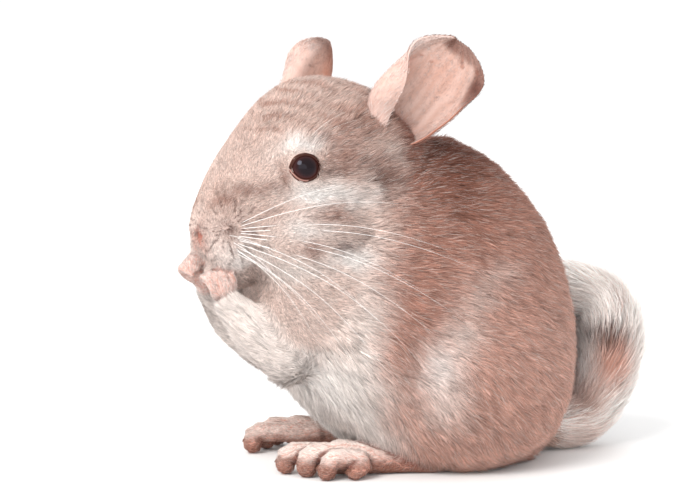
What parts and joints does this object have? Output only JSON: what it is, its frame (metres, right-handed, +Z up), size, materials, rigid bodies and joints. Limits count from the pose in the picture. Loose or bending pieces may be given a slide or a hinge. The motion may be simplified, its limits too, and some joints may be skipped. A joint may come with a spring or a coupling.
{
  "type": "chinchilla",
  "caption": "Small plump furry rodent sitting on its haunches, forepaws held to its mouth, with tall cupped ears, short legs and a bushy curled tail",
  "frame": {"origin": "on the floor plane under the middle of the whole model", "axes": "+Z is up, the animal faces -X with its own left side towards -Y, and the head turns a little to that side"},
  "size_m": [0.182, 0.108, 0.1551],
  "materials": {
    "fur_beige": "dense soft beige coat",
    "fur_pale": "short pale coat over pinkish skin",
    "bare_skin": "thin soft skin with fine down",
    "eye_dark": "wet gloss"
  },
  "bodies": {
    "root": {"torso": "fur_beige", "neck": "fur_beige", "head": "fur_beige", "haunch_left": "fur_beige", "haunch_right": "fur_beige", "eye_left": "eye_dark", "eye_right": "eye_dark", "ear_left": "bare_skin", "ear_right": "bare_skin", "foreleg_left": "fur_pale", "foreleg_right": "fur_pale", "forepaw_left": "fur_pale", "forepaw_right": "fur_pale", "hind_foot_left": "fur_pale", "hind_foot_right": "fur_pale", "tail_root": "fur_beige", "tail_shaft": "fur_beige", "tail_tip": "fur_beige"}
  },
  "joints": []
}
